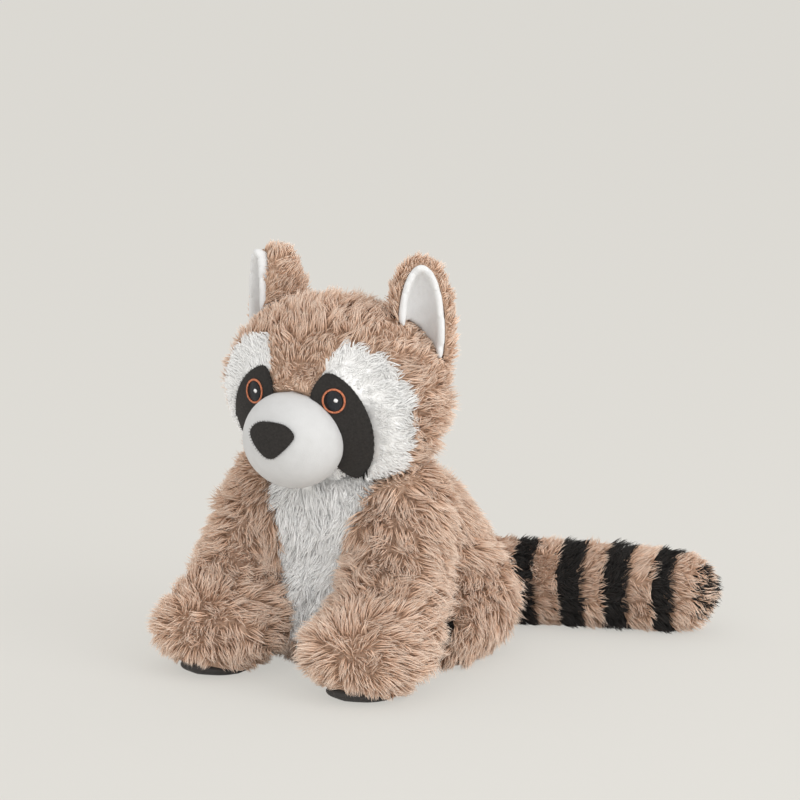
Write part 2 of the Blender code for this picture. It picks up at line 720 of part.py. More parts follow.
def split_faces(obj):
    bm = bmesh.new()
    bm.from_mesh(obj.data)
    bmesh.ops.triangulate(bm, faces=bm.faces)
    bm.to_mesh(obj.data)
    bm.free()


def comb_direction(name, point):
    """Which way the pile lies at a point of the named panel."""
    if name.startswith("tail"):
        return Vector((math.cos(TAIL_TURN), math.sin(TAIL_TURN), 0.0))
    if name.startswith(("head", "ear")):
        return Vector((point.x * 0.5, 1.0, 0.6))
    if name.startswith("cheek"):
        away = point - MUZZLE_MIDDLE
        return Vector((away.x, 0.0, away.z))
    if name.startswith(("front_leg", "hind")):
        return Vector((0.0, -0.6, -1.0))
    return Vector((0.0, 0.2, -1.0))


def has_room(face, trees):
    """Whether nothing stands close over the middle of the face."""
    start = face.calc_center_median() + face.normal * GAP / 4
    if start.z < 2 * TUFT_HEIGHT:
        return False
    return all(tree.ray_cast(start, face.normal, 3 * PILE)[0] is None for tree in trees)


def fan_tree(face, peak):
    """The sides of a tuft, raised from the face to its peak."""
    corners = [v.co for v in face.verts]
    count = len(corners)
    sides = [(i, (i + 1) % count, count) for i in range(count)]
    return BVHTree.FromPolygons([*corners, peak], sides)


def ruffle(obj, trees):
    """Raise a leaning tuft on each open facet of a furred panel."""
    bm = bmesh.new()
    bm.from_mesh(obj.data)
    bm.normal_update()
    tall = TUFT_HEIGHT * (EAR_TUFT_SHARE if obj.name.startswith("ear") else 1.0)
    free = [face for face in bm.faces if has_room(face, trees)]
    kept = set(bm.faces) - set(free)
    bmesh.ops.join_triangles(bm, faces=free, angle_face_threshold=math.radians(30),
                             angle_shape_threshold=math.radians(50))
    bm.normal_update()
    for face in [face for face in bm.faces if face not in kept]:
        if face.calc_area() < TUFT_FACE_MIN:
            continue
        middle = face.calc_center_median()
        comb = comb_direction(obj.name, middle)
        comb = (comb - comb.dot(face.normal) * face.normal).normalized()
        wave = math.sin((middle.x + 1.7 * middle.y + 2.3 * middle.z) / TUFT_WAVE)
        height = tall * (1.0 + 0.25 * wave)
        peak = middle + face.normal * height + comb * TUFT_LEAN
        fan = fan_tree(face, peak + face.normal * TUFT_CLEARANCE)
        if not any(tree.overlap(fan) for tree in trees):
            made = bmesh.ops.poke(bm, faces=[face])
            made["verts"][0].co = peak
    bm.to_mesh(obj.data)
    bm.free()


def tree_of(obj):
    bm = bmesh.new()
    bm.from_mesh(obj.data)
    tree = BVHTree.FromBMesh(bm)
    bm.free()
    return tree


def dress(pieces):
    materials = {}
    for obj in pieces:
        name, colour, roughness = finish_of(obj)
        if name not in materials:
            material = bpy.data.materials.new(name)
            material.use_nodes = True
            shader = material.node_tree.nodes["Principled BSDF"]
            shader.inputs["Base Color"].default_value = (*colour, 1.0)
            shader.inputs["Roughness"].default_value = roughness
            shader.inputs["Metallic"].default_value = 0.0
            materials[name] = material
        obj.data.materials.clear()
        obj.data.materials.append(materials[name])


def main():
    clear_scene()
    floor = box("floor", (-1, -1, -1), (1, 1, 0))
    bag = torso_form("bag", 0.0, FACET)
    head = head_form("head", 0.0, 7)
    pieces = build_torso(bag)
    pieces += build_head(bag, head)
    for side, sign in SIDES:
        pieces += build_ear(side, sign, head)
    pieces += build_legs(bag, head, floor)
    pieces += build_tail(bag, floor)
    discard(floor, bag, head)
    for obj in pieces:
        weld(obj)
    trees = {obj.name: tree_of(obj) for obj in pieces}
    for obj in pieces:
        if finish_of(obj)[0] in FURRED and obj.name != "seat_panel":
            ruffle(obj, [tree for name, tree in trees.items() if name != obj.name])
            trees[obj.name] = tree_of(obj)
        split_faces(obj)
    dress(pieces)


main()
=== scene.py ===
# %% [markdown]
# # A sitting raccoon plush toy with long fur
# The toy is a heatable plush: stuffed cloth bags, sewn from long faux fur, with a
# smooth white muzzle, black suede patches and embroidered eyes. This lesson loads
# the solid model as a fixed frame and dresses it, piece by piece, in metres.

# %% Load the frame
import math

import bmesh
import bpy
import numpy as np
from mathutils import Matrix, Vector
from mathutils.bvhtree import BVHTree
from mathutils.kdtree import KDTree


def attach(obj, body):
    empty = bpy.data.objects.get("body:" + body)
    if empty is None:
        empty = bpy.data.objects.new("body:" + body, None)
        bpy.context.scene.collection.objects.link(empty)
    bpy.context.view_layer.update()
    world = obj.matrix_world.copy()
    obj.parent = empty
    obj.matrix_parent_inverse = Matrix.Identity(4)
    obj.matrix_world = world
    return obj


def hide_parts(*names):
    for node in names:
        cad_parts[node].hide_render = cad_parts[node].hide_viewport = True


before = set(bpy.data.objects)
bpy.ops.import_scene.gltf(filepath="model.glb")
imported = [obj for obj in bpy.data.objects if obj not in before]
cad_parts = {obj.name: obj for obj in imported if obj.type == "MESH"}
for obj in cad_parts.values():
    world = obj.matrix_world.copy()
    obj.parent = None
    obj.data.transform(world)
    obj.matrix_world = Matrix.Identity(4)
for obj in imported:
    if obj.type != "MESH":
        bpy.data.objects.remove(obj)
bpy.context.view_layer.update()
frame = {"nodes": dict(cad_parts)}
NODES = frame["nodes"]
SIDES = (("left", 1), ("right", -1))

# %% [markdown]
# ## The camera
# A product photograph is taken with a long lens from a little above, so that the
# toy keeps its proportions. The lens and the distance are set together: the
# number that can be measured is how many metres one pixel covers at the toy.

# %% Camera
AZIMUTH = math.radians(32.0)
ELEVATION = math.radians(11.5)
DISTANCE = 1.80
METRES_PER_PIXEL = 0.00057
FRAME_PIXELS = 800
SEAT_PIXEL = (379, 642)
SENSOR_WIDTH = 36.0

toward = Vector((math.sin(AZIMUTH) * math.cos(ELEVATION),
                 -math.cos(AZIMUTH) * math.cos(ELEVATION), math.sin(ELEVATION)))
right = Vector((math.cos(AZIMUTH), math.sin(AZIMUTH), 0.0))
above = toward.cross(right)
camera_data = bpy.data.cameras.new("camera")
camera_data.sensor_width = SENSOR_WIDTH
camera_data.lens = SENSOR_WIDTH * DISTANCE / METRES_PER_PIXEL / FRAME_PIXELS
camera = bpy.data.objects.new("camera", camera_data)
camera.location = (toward * DISTANCE
                   + right * (FRAME_PIXELS / 2 - SEAT_PIXEL[0]) * METRES_PER_PIXEL
                   + above * (SEAT_PIXEL[1] - FRAME_PIXELS / 2) * METRES_PER_PIXEL)
camera.rotation_mode = "QUATERNION"
camera.rotation_quaternion = (-toward).to_track_quat("-Z", "Y")
camera_data.clip_start = 0.05
bpy.context.scene.collection.objects.link(camera)
bpy.context.scene.camera = camera
print("lens %.0f mm" % camera_data.lens)

# %% [markdown]
# ## Writing materials as sums
# Shader nodes are wires between boxes. One small class holds a wire, so that
# `1 - mask` or `tone * 0.3` adds the Math nodes by itself, and one method makes
# every other kind of node. That keeps each finish down to a few lines.

# %% Shader helper
class Wire:
    """A socket of a node tree, which can be used in sums."""

    def __init__(self, tree, socket=None):
        self.tree = tree
        self.socket = socket

    def node(self, kind, settings=None, inputs=None, output=0):
        made = self.tree.nodes.new(kind)
        for name, value in (settings or {}).items():
            if name == "stops":
                while len(made.color_ramp.elements) < len(value):
                    made.color_ramp.elements.new(0.5)
                for stop, (place, colour) in zip(made.color_ramp.elements, value):
                    stop.position = place
                    stop.color = (*colour, 1.0)
            else:
                setattr(made, name, value)
        for name, value in (inputs or {}).items():
            if isinstance(value, Wire):
                self.tree.links.new(value.socket, made.inputs[name])
            else:
                made.inputs[name].default_value = value
        return Wire(self.tree, made.outputs[output] if made.outputs else None)

    def other(self, name):
        """Another output of the same node."""
        return Wire(self.tree, self.socket.node.outputs[name])

    def math(self, operation, first, second=0.0):
        return self.node("ShaderNodeMath", {"operation": operation}, {0: first, 1: second})

    def mix(self, share, first, second):
        """Blend two colours by a share from 0 to 1."""
        return self.node("ShaderNodeMix", {"data_type": "RGBA"},
                         {0: share, 6: first, 7: second}, 2)

    def __add__(self, other):
        return self.math("ADD", self, other)

    def __sub__(self, other):
        return self.math("SUBTRACT", self, other)

    def __rsub__(self, other):
        return self.math("SUBTRACT", other, self)

    def __mul__(self, other):
        return self.math("MULTIPLY", self, other)

    __radd__ = __add__
    __rmul__ = __mul__


def new_finish(name, roughness, sheen=0.0):
    """A material, its Principled shader and a wire to start its sums from."""
    material = bpy.data.materials.new(name)
    material.use_nodes = True
    shader = material.node_tree.nodes["Principled BSDF"]
    shader.inputs["Roughness"].default_value = roughness
    shader.inputs["Sheen Weight"].default_value = sheen
    shader.inputs["Sheen Roughness"].default_value = 0.5
    return material, shader, Wire(material.node_tree)


def plug(wire, shader, name):
    wire.tree.links.new(wire.socket, shader.inputs[name])


def colour(*parts):
    return (*parts, 1.0)


# %% [markdown]
# ## Studio
# Plush is lit softly, or its fur turns to black gaps and white tips. A pale world
# gives the even light, a broad lamp on the picture's right models the head, and a
# low one in front fills the shadows. The floor is partly its own light to the
# camera, so that it stays plain.

# %% Studio
BACKDROP = colour(0.698, 0.680, 0.637)
FLOOR = colour(0.800, 0.786, 0.752)
DAYLIGHT = colour(1.0, 0.99, 0.97)
DAYLIGHT_STRENGTH = 0.92
FLOOR_GLOW = 0.72
FLOOR_REACH = 12.0
LAMPS_AIM = Vector((0.03, 0.02, 0.10))

world = bpy.data.worlds.new("studio")
world.use_nodes = True
world.node_tree.nodes.clear()
sky = Wire(world.node_tree)
rays = sky.node("ShaderNodeLightPath")
seen = rays.other("Is Camera Ray")
shiny = rays.other("Is Glossy Ray")
clear = rays.other("Is Transmission Ray")
lit = sky.node("ShaderNodeBackground", None, {"Color": DAYLIGHT, "Strength": DAYLIGHT_STRENGTH})
shown = sky.node("ShaderNodeBackground", None, {"Color": BACKDROP, "Strength": 1.0})
visible = sky.math("MINIMUM", seen + shiny + clear, 1.0)
sky_light = sky.node("ShaderNodeMixShader", None, {0: visible, 1: lit, 2: shown})
sky.node("ShaderNodeOutputWorld", None, {"Surface": sky_light})
bpy.context.scene.world = world
bpy.context.scene.view_settings.view_transform = "Standard"


def lamp(name, azimuth, elevation, distance, size, watts):
    a, e = math.radians(azimuth), math.radians(elevation)
    away = Vector((math.sin(a) * math.cos(e), -math.cos(a) * math.cos(e), math.sin(e)))
    light = bpy.data.lights.new(name, "AREA")
    light.size = size
    light.energy = watts
    obj = bpy.data.objects.new(name, light)
    obj.location = LAMPS_AIM + away * distance
    obj.rotation_mode = "QUATERNION"
    obj.rotation_quaternion = (-away).to_track_quat("-Z", "Y")
    bpy.context.scene.collection.objects.link(obj)


lamp("key", 80, 30, 1.8, 1.2, 13.0)
lamp("front", 20, 7, 2.0, 1.4, 8.5)

ground = bmesh.new()
bmesh.ops.create_grid(ground, x_segments=1, y_segments=1, size=FLOOR_REACH)
bmesh.ops.translate(ground, vec=(0, 0, -0.0001), verts=ground.verts)
floor_mesh = bpy.data.meshes.new("floor")
ground.to_mesh(floor_mesh)
ground.free()
floor = bpy.data.objects.new("floor", floor_mesh)
bpy.context.scene.collection.objects.link(floor)

floor_material = bpy.data.materials.new("floor_paper")
floor_material.use_nodes = True
floor_material.node_tree.nodes.clear()
paper = Wire(floor_material.node_tree)
rays = paper.node("ShaderNodeLightPath")
seen = rays.other("Is Camera Ray")
matt = paper.node("ShaderNodeBsdfDiffuse", None, {"Color": FLOOR})
glow = paper.node("ShaderNodeEmission", None, {"Color": BACKDROP, "Strength": 1.0})
paper_light = paper.node("ShaderNodeMixShader", None, {0: seen * FLOOR_GLOW, 1: matt, 2: glow})
paper.node("ShaderNodeOutputMaterial", None, {"Surface": paper_light})
floor_mesh.materials.append(floor_material)

# %% [markdown]
# ## Stuffed bags under the fur
# Under its fur the toy is a set of stuffed bags: head, body, legs, tail. The solid
# model has one solid for each fur panel, measured over the pile, so the panels of
# a bag are fused by a voxel remesh, smoothed and drawn in by the depth of the
# pile. A short cloth simulation with air pressure inside then fills the bag out,
# as stuffing does. Where two bags are sewn together, neither is drawn in.

# %% Bag helpers
SEAM_REACH = 0.012
SEAM_DEPTH = 0.0008
PILE_DEPTH = 0.0070
FLOOR_REST = 0.0006
SAME_CORNER = 0.00001
CLOTH_QUALITY = 4
CLOTH_FRAMES = 20
AIR_PRESSURE = 4.0

BAGS = {
    "torso": ["body_panel_left", "body_panel_right", "chest_bib", "seat_panel",
              "fibre_filling", "grain_pouch"],
    "head": ["head_cover", "head_filling", "cheek_left", "cheek_right"],
    "front_leg_left": ["front_leg_left"],
    "front_leg_right": ["front_leg_right"],
    "hind_leg_left": ["hind_leg_left", "hind_paw_pad_left"],
    "hind_leg_right": ["hind_leg_right", "hind_paw_pad_right"],
    "tail": [name for name in sorted(NODES) if name.startswith("tail_")],
    "ear_left": ["ear_back_left"],
    "ear_right": ["ear_back_right"],
}
LAID_ON = {"head": ["eye_patch_left", "eye_patch_right"],
           "front_leg_left": ["front_paw_pad_left"],
           "front_leg_right": ["front_paw_pad_right"]}


def joined(names):
    """One bmesh of several nodes, with their shared corners merged."""
    bm = bmesh.new()
    for name in names:
        bm.from_mesh(NODES[name].data)
    bmesh.ops.remove_doubles(bm, verts=bm.verts, dist=SAME_CORNER)
    return bm


def to_object(bm, name):
    mesh = bpy.data.meshes.new(name)
    bm.to_mesh(mesh)
    bm.free()
    mesh.polygons.foreach_set("use_smooth", [True] * len(mesh.polygons))
    obj = bpy.data.objects.new(name, mesh)
    bpy.context.scene.collection.objects.link(obj)
    return obj


def settle(obj):
    """Work out the piece's modifiers for good."""
    graph = bpy.context.evaluated_depsgraph_get()
    mesh = bpy.data.meshes.new_from_object(obj.evaluated_get(graph))
    obj.modifiers.clear()
    obj.data = mesh
    return obj


def tree_of(names, pieces=NODES):
    """A search tree of several pieces, and the piece of each of its faces."""
    corners, faces, owner = [], [], []
    for name in names:
        start = len(corners)
        corners += [v.co.copy() for v in pieces[name].data.vertices]
        for face in pieces[name].data.polygons:
            faces.append([start + i for i in face.vertices])
            owner.append(name)
    return BVHTree.FromPolygons(corners, faces), owner


def remeshed(bm, name, voxel):
    obj = to_object(bm, name)
    remesh = obj.modifiers.new("fuse", "REMESH")
    remesh.mode = "VOXEL"
    remesh.voxel_size = voxel
    return settle(obj)


def smoothed(obj, rounds):
    bm = bmesh.new()
    bm.from_mesh(obj.data)
    for _ in range(rounds):
        bmesh.ops.smooth_vert(bm, verts=bm.verts, factor=0.5, use_axis_x=True,
                              use_axis_y=True, use_axis_z=True)
    bm.to_mesh(obj.data)
    bm.free()
    return obj


def drawn_in(obj, names, depth):
    """Draw the bag in by the pile's depth, except at its seams and on the floor."""
    others, _ = tree_of([name for name in NODES if name not in names])
    bm = bmesh.new()
    bm.from_mesh(obj.data)
    bm.normal_update()
    for vert in bm.verts:
        gap = others.find_nearest(vert.co)[3]
        if vert.normal.z < -0.5:
            gap = min(gap, max(vert.co.z, 0.0))
        free = min(gap / SEAM_REACH, 1.0)
        ease = free * free * (3 - 2 * free)
        vert.co -= vert.normal * (SEAM_DEPTH + (depth - SEAM_DEPTH) * ease)
        vert.co.z = max(vert.co.z, FLOOR_REST)
    bm.to_mesh(obj.data)
    bm.free()
    return obj


def filled_out(obj, cap):
    """Blow the bag up as cloth, and keep each point within the cap."""
    rest = np.array([v.co for v in obj.data.vertices])
    cloth = obj.modifiers.new("stuffing", "CLOTH")
    cloth.settings.quality = CLOTH_QUALITY
    cloth.settings.use_pressure = True
    cloth.settings.uniform_pressure_force = AIR_PRESSURE
    cloth.settings.effector_weights.gravity = 0.0
    cloth.collision_settings.use_self_collision = False
    scene = bpy.context.scene
    for step in range(1, CLOTH_FRAMES + 1):
        scene.frame_set(step)
    settle(obj)
    scene.frame_set(1)
    moved = np.array([v.co for v in obj.data.vertices]) - rest
    far = np.linalg.norm(moved, axis=1, keepdims=True)
    moved *= np.minimum(1.0, cap / np.maximum(far, 1e-9))
    place = rest + moved
    place[:, 2] = np.maximum(place[:, 2], FLOOR_REST)
    obj.data.vertices.foreach_set("co", place.ravel())
    obj.data.update()
    return obj


def subdivided(obj):
    finer = obj.modifiers.new("finer", "SUBSURF")
    finer.levels = 1
    finer.render_levels = 1
    settle(obj)
    obj.data.polygons.foreach_set("use_smooth", [True] * len(obj.data.polygons))
    return obj


# %% Make the bags
VOXELS = {"torso": 0.0045, "head": 0.0040, "ear_left": 0.0020, "ear_right": 0.0020}
LIMB_VOXEL = 0.0035
EAR_DEPTH = 0.0018
EAR_ROUNDS, BAG_ROUNDS = 4, 8
BAG_SWELL = 0.0022
bags = {}
for bag, names in BAGS.items():
    whole = names + LAID_ON.get(bag, [])
    thin = bag.startswith("ear")
    skin = remeshed(joined(whole), bag + "_cloth", VOXELS.get(bag, LIMB_VOXEL))
    smoothed(skin, EAR_ROUNDS if thin else BAG_ROUNDS)
    drawn_in(skin, whole, EAR_DEPTH if thin else PILE_DEPTH)
    if not thin:
        filled_out(skin, BAG_SWELL)
    bags[bag] = skin
    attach(skin, "root")
    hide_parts(*names)
    print("%s: %d faces" % (skin.name, len(skin.data.polygons)))

# %% [markdown]
# ## Smooth velour: muzzle, ears and pads
# The muzzle and the hollows of the ears are a short, dense velour, and the pads
# under the front paws a smooth black cloth. Their solids already have the right
# form, so each is copied, fused by a fine remesh that rounds its edges, and
# smoothed. The muzzle is stuffed hard, so it gets air pressure as the bags did.

# %% Velour and pad finishes
def napped_finish(name, low, high, size, nap, depth, roughness, sheen):
    """A short pile: soft patches of tone, and a fine nap that catches the light."""
    material, shader, wire = new_finish(name, roughness, sheen)
    place = wire.node("ShaderNodeTexCoord", None, None, 3)
    patches = wire.node("ShaderNodeTexNoise", None,
                        {"Vector": place, "Scale": 1.0 / size, "Detail": 3.0})
    fine = wire.node("ShaderNodeTexNoise", None,
                     {"Vector": place, "Scale": 1.0 / nap, "Detail": 3.0, "Roughness": 0.6})
    tone = patches * 0.6 + fine * 0.4
    spread = wire.node("ShaderNodeMapRange", None,
                       {"Value": tone, "From Min": 0.36, "From Max": 0.64})
    plug(wire.mix(spread, colour(*low), colour(*high)), shader, "Base Color")
    plug(wire.node("ShaderNodeBump", None, {"Height": fine, "Strength": 0.7, "Distance": depth}),
         shader, "Normal")
    return material


VELOUR = napped_finish("white_velour", (0.568, 0.568, 0.568), (0.608, 0.609, 0.611),
                       0.007, 0.0005, 0.00022, 0.85, 0.15)
LINING = napped_finish("ear_velour", (0.690, 0.690, 0.690), (0.750, 0.752, 0.756),
                       0.006, 0.0005, 0.00022, 0.85, 0.15)
SUEDE = napped_finish("black_suede", (0.0125, 0.0108, 0.0098), (0.0260, 0.0225, 0.0205),
                      0.0012, 0.00035, 0.00020, 0.95, 0.04)


def woven_finish(name, low, high, pitch, roughness):
    """A plain weave, from two crossed waves on the object's own coordinates."""
    material, shader, wire = new_finish(name, roughness, 0.1)
    place = wire.node("ShaderNodeTexCoord", None, None, 3)
    turns = math.tau / pitch
    across = wire.node("ShaderNodeSeparateXYZ", None, {0: place})
    warp = wire.math("SINE", across * turns)
    weft = wire.math("SINE", across.other("Y") * turns)
    weave = warp * weft * 0.5 + 0.5
    cloud = wire.node("ShaderNodeTexNoise", None, {"Vector": place, "Scale": 160.0, "Detail": 3.0})
    plug(wire.mix(weave * 0.5 + cloud * 0.5, colour(*low), colour(*high)), shader, "Base Color")
    plug(wire.node("ShaderNodeBump", None, {"Height": weave, "Strength": 0.5, "Distance": 0.00015}),
         shader, "Normal")
    return material


PAD_CLOTH = woven_finish("black_cloth", (0.020, 0.018, 0.018), (0.046, 0.042, 0.040),
                         0.0009, 0.6)


# %% Velour pieces
MUZZLE_SWELL = 0.0008
# A voxel, rounds of smoothing, a step outwards and a finish
LINING_LOOK = (0.0015, 3, 0.0010, LINING)
PAD_LOOK = (0.0020, 3, 0.0010, PAD_CLOTH)


def puffed(obj, step):
    """Move the skin outwards by a step, to make up for what smoothing took."""
    bm = bmesh.new()
    bm.from_mesh(obj.data)
    bm.normal_update()
    for vert in bm.verts:
        vert.co += vert.normal * step
        vert.co.z = max(vert.co.z, FLOOR_REST)
    bm.to_mesh(obj.data)
    bm.free()
    return obj


def dress_node(node, name, voxel, rounds, step, finish):
    piece = puffed(smoothed(remeshed(joined([node]), name, voxel), rounds), step)
    piece.data.materials.append(finish)
    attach(piece, "root")
    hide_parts(node)
    return piece


muzzle = dress_node("muzzle", "muzzle_velour", 0.0024, 6, 0.0, VELOUR)
filled_out(muzzle, MUZZLE_SWELL)
subdivided(muzzle)
for side, _ in SIDES:
    subdivided(dress_node("ear_lining_" + side, "ear_velour_" + side, *LINING_LOOK))
    subdivided(dress_node("front_paw_pad_" + side, "paw_pad_cloth_" + side, *PAD_LOOK))

# %% [markdown]
# ## Suede patches
# The eye patches and the nose are cut from black suede and laid flat on the head,
# and their edge is held by tiny blanket stitches, which pull it into scallops. A
# patch starts as a fine grid. Faces outside its outline are deleted, the rim is
# drawn to the scalloped outline, and the sheet is pressed on to its egg-shaped
# bed and thickened.

# %% Patch helpers
HEAD_MIDDLE = Vector((0.0, -0.045, 0.154))
HEAD_RADII = Vector((0.070, 0.046, 0.054))
MUZZLE_MIDDLE = Vector((0.0, -0.0857, 0.134))
MUZZLE_RADII = Vector((0.030, 0.023, 0.027))
SCALLOP_PITCH = 0.0017
SCALLOP_DEPTH = 0.00022
RIM_DROP = 0.0005
RELAX_ROUNDS = 4
EDGE_STITCH = (0.0013, 0.00042, 0.0005)
EDGE_LIFT = 0.0001


def unit(vectors):
    return vectors / np.maximum(np.linalg.norm(vectors, axis=1, keepdims=True), 1e-9)


def smooth_loop(points, steps=14):
    """A closed curve through the points, given in the front view."""
    loop = [np.array(p, dtype=float) for p in points]
    loop = [loop[-1], *loop, loop[0], loop[1]]
    curve = []
    for a, b, c, d in zip(loop, loop[1:], loop[2:], loop[3:]):
        for step in range(steps):
            s = step / steps
            bend = s * (2 * a - 5 * b + 4 * c - d + s * (3 * (b - c) + d - a))
            curve.append(b + 0.5 * s * (c - a + bend))
    return np.array(curve)


def scalloped(curve):
    """Pull the curve in between its stitches."""
    ahead = np.roll(curve, -1, axis=0) - np.roll(curve, 1, axis=0)
    inward = unit(np.stack([-ahead[:, 1], ahead[:, 0]], axis=1))
    middle = curve.mean(axis=0)
    inward *= np.sign(np.sum(inward * (middle - curve), axis=1).sum())
    gone = np.concatenate([[0.0], np.cumsum(np.linalg.norm(np.diff(curve, axis=0), axis=1))])
    return curve + inward * (SCALLOP_DEPTH * np.sin(gone * math.pi / SCALLOP_PITCH) ** 2)[:, None]


def within(curve, x, z):
    """Whether a point of the front view lies inside the closed curve."""
    x0, z0 = curve[:, 0], curve[:, 1]
    x1, z1 = np.roll(x0, -1), np.roll(z0, -1)
    crosses = (z0 > z) != (z1 > z)
    meets = x0 + (z - z0) / np.where(z1 == z0, 1e-12, z1 - z0) * (x1 - x0)
    return bool(np.count_nonzero(crosses & (x < meets)) % 2)


def bed_depth(x, z, middle, radii):
    """How far forward the egg-shaped bed stands at a place of the front view."""
    left = 1.0 - ((x - middle.x) / radii.x) ** 2 - ((z - middle.z) / radii.z) ** 2
    return middle.y - radii.y * math.sqrt(max(left, 0.02))


def bed_normal(place, middle, radii):
    return Vector([(c - m) / (r * r) for c, m, r in zip(place, middle, radii)]).normalized()


def lay_patch(name, points, origin, middle, radii, cell, thickness, finish):
    curve = scalloped(smooth_loop(points)) + np.array((origin.x, origin.z))
    low, high = curve.min(axis=0) - cell, curve.max(axis=0) + cell
    across, tall = (int(n) + 1 for n in (high - low) / cell)
    bm = bmesh.new()
    bmesh.ops.create_grid(bm, x_segments=across, y_segments=tall, size=0.5)
    for vert in bm.verts:
        vert.co = Vector((low[0] + (vert.co.x + 0.5) * across * cell, 0.0,
                          low[1] + (vert.co.y + 0.5) * tall * cell))
    waste = [face for face in bm.faces
             if not within(curve, face.calc_center_median().x, face.calc_center_median().z)]
    bmesh.ops.delete(bm, geom=waste, context="FACES")
    rim = [vert for vert in bm.verts if vert.is_boundary]
    for vert in rim:
        far = np.linalg.norm(curve - np.array((vert.co.x, vert.co.z)), axis=1)
        vert.co.x, vert.co.z = curve[far.argmin()]
    inner = [vert for vert in bm.verts if not vert.is_boundary]
    for _ in range(RELAX_ROUNDS):
        bmesh.ops.smooth_vert(bm, verts=inner, factor=0.5, use_axis_x=True, use_axis_z=True)
    edge = set(rim)
    for vert in bm.verts:
        drop = RIM_DROP if vert in edge else 0.0
        vert.co.y = bed_depth(vert.co.x, vert.co.z, middle, radii) + drop
    bmesh.ops.recalc_face_normals(bm, faces=bm.faces)
    if sum(face.normal.y for face in bm.faces) > 0:
        bmesh.ops.reverse_faces(bm, faces=bm.faces)
    patch = to_object(bm, name)
    solid = patch.modifiers.new("thickness", "SOLIDIFY")
    solid.thickness = thickness
    solid.offset = -1.0
    settle(patch)
    patch.data.materials.append(finish)
    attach(patch, "root")
    return patch, curve


def add_stitch(bm, place, along, out, length, width, height):
    """One tiny rounded stitch, lying along a direction on the cloth."""
    side = out.cross(along).normalized()
    turn = Matrix((along, side, out)).transposed().to_4x4()
    size = Matrix.Diagonal((length / 2, width / 2, height / 2, 1.0))
    bmesh.ops.create_uvsphere(bm, u_segments=6, v_segments=5, radius=1.0,
                              matrix=Matrix.Translation(place) @ turn @ size)


def edge_stitches(name, curve, middle, radii, finish):
    """Blanket stitches across the patch's edge, one at each dip of the scallops."""
    steps = np.linalg.norm(np.diff(curve, axis=0, append=curve[:1]), axis=1)
    gone = np.concatenate([[0.0], np.cumsum(steps)])
    count = int(gone[-1] / SCALLOP_PITCH)
    bm = bmesh.new()
    for number in range(count):
        at = np.searchsorted(gone, gone[-1] * (number + 0.5) / count) % len(curve)
        x, z = curve[at]
        ahead = curve[(at + 1) % len(curve)] - curve[at - 1]
        place = Vector((x, bed_depth(x, z, middle, radii), z))
        out = bed_normal(place, middle, radii)
        along = Vector((ahead[1], 0.0, -ahead[0]))
        along = (along - along.dot(out) * out).normalized()
        add_stitch(bm, place + out * EDGE_LIFT, along, out, *EDGE_STITCH)
    stitches = to_object(bm, name)
    stitches.data.materials.append(finish)
    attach(stitches, "root")


# %% Thread finish
def thread_finish(name, low, high, roughness):
    material, shader, wire = new_finish(name, roughness)
    place = wire.node("ShaderNodeTexCoord", None, None, 3)
    fine = wire.node("ShaderNodeTexNoise", None,
                     {"Vector": place, "Scale": 1400.0, "Detail": 3.0})
    spread = wire.node("ShaderNodeMapRange", None,
                       {"Value": fine, "From Min": 0.35, "From Max": 0.65})
    plug(wire.mix(spread, colour(*low), colour(*high)), shader, "Base Color")
    plug(wire.node("ShaderNodeBump", None, {"Height": fine, "Strength": 0.5, "Distance": 0.00012}),
         shader, "Normal")
    return material


EDGE_THREAD = thread_finish("edge_thread", (0.020, 0.018, 0.016), (0.045, 0.040, 0.036), 0.6)
IRIS_THREAD = thread_finish("orange_thread", (0.360, 0.095, 0.040), (0.720, 0.260, 0.130), 0.45)
PUPIL_THREAD = thread_finish("black_thread", (0.006, 0.007, 0.010), (0.022, 0.024, 0.030), 0.35)
GLINT_THREAD = thread_finish("white_thread", (0.780, 0.780, 0.780), (0.900, 0.900, 0.900), 0.4)

# %% Lay the patches
MASK_POINTS = ((0.0200, 0.0180), (0.0320, 0.0130), (0.0414, 0.0009), (0.0445, -0.0146),
               (0.0392, -0.0310), (0.0258, -0.0430), (0.0196, -0.0344), (0.0178, -0.0172),
               (0.0126, 0.0005), (0.0126, 0.0085))
NOSE_POINTS = ((0.0, 0.0098), (0.0089, 0.0086), (0.0143, 0.0035), (0.0114, -0.0023),
               (0.0043, -0.0088), (0.0, -0.0101), (-0.0043, -0.0088), (-0.0114, -0.0023),
               (-0.0143, 0.0035), (-0.0089, 0.0086))
MASK_CELL, MASK_THICKNESS = 0.0008, 0.0050
NOSE_CELL, NOSE_THICKNESS = 0.0005, 0.0022
NOSE_RISE = 0.0035
SUEDE_SINK = 0.0025
NOSE_STAND = 0.0014
suede_bed = HEAD_RADII - Vector((SUEDE_SINK,) * 3)
nose_bed = MUZZLE_RADII + Vector((NOSE_STAND,) * 3)
nose_place = MUZZLE_MIDDLE + Vector((0.0, 0.0, NOSE_RISE))

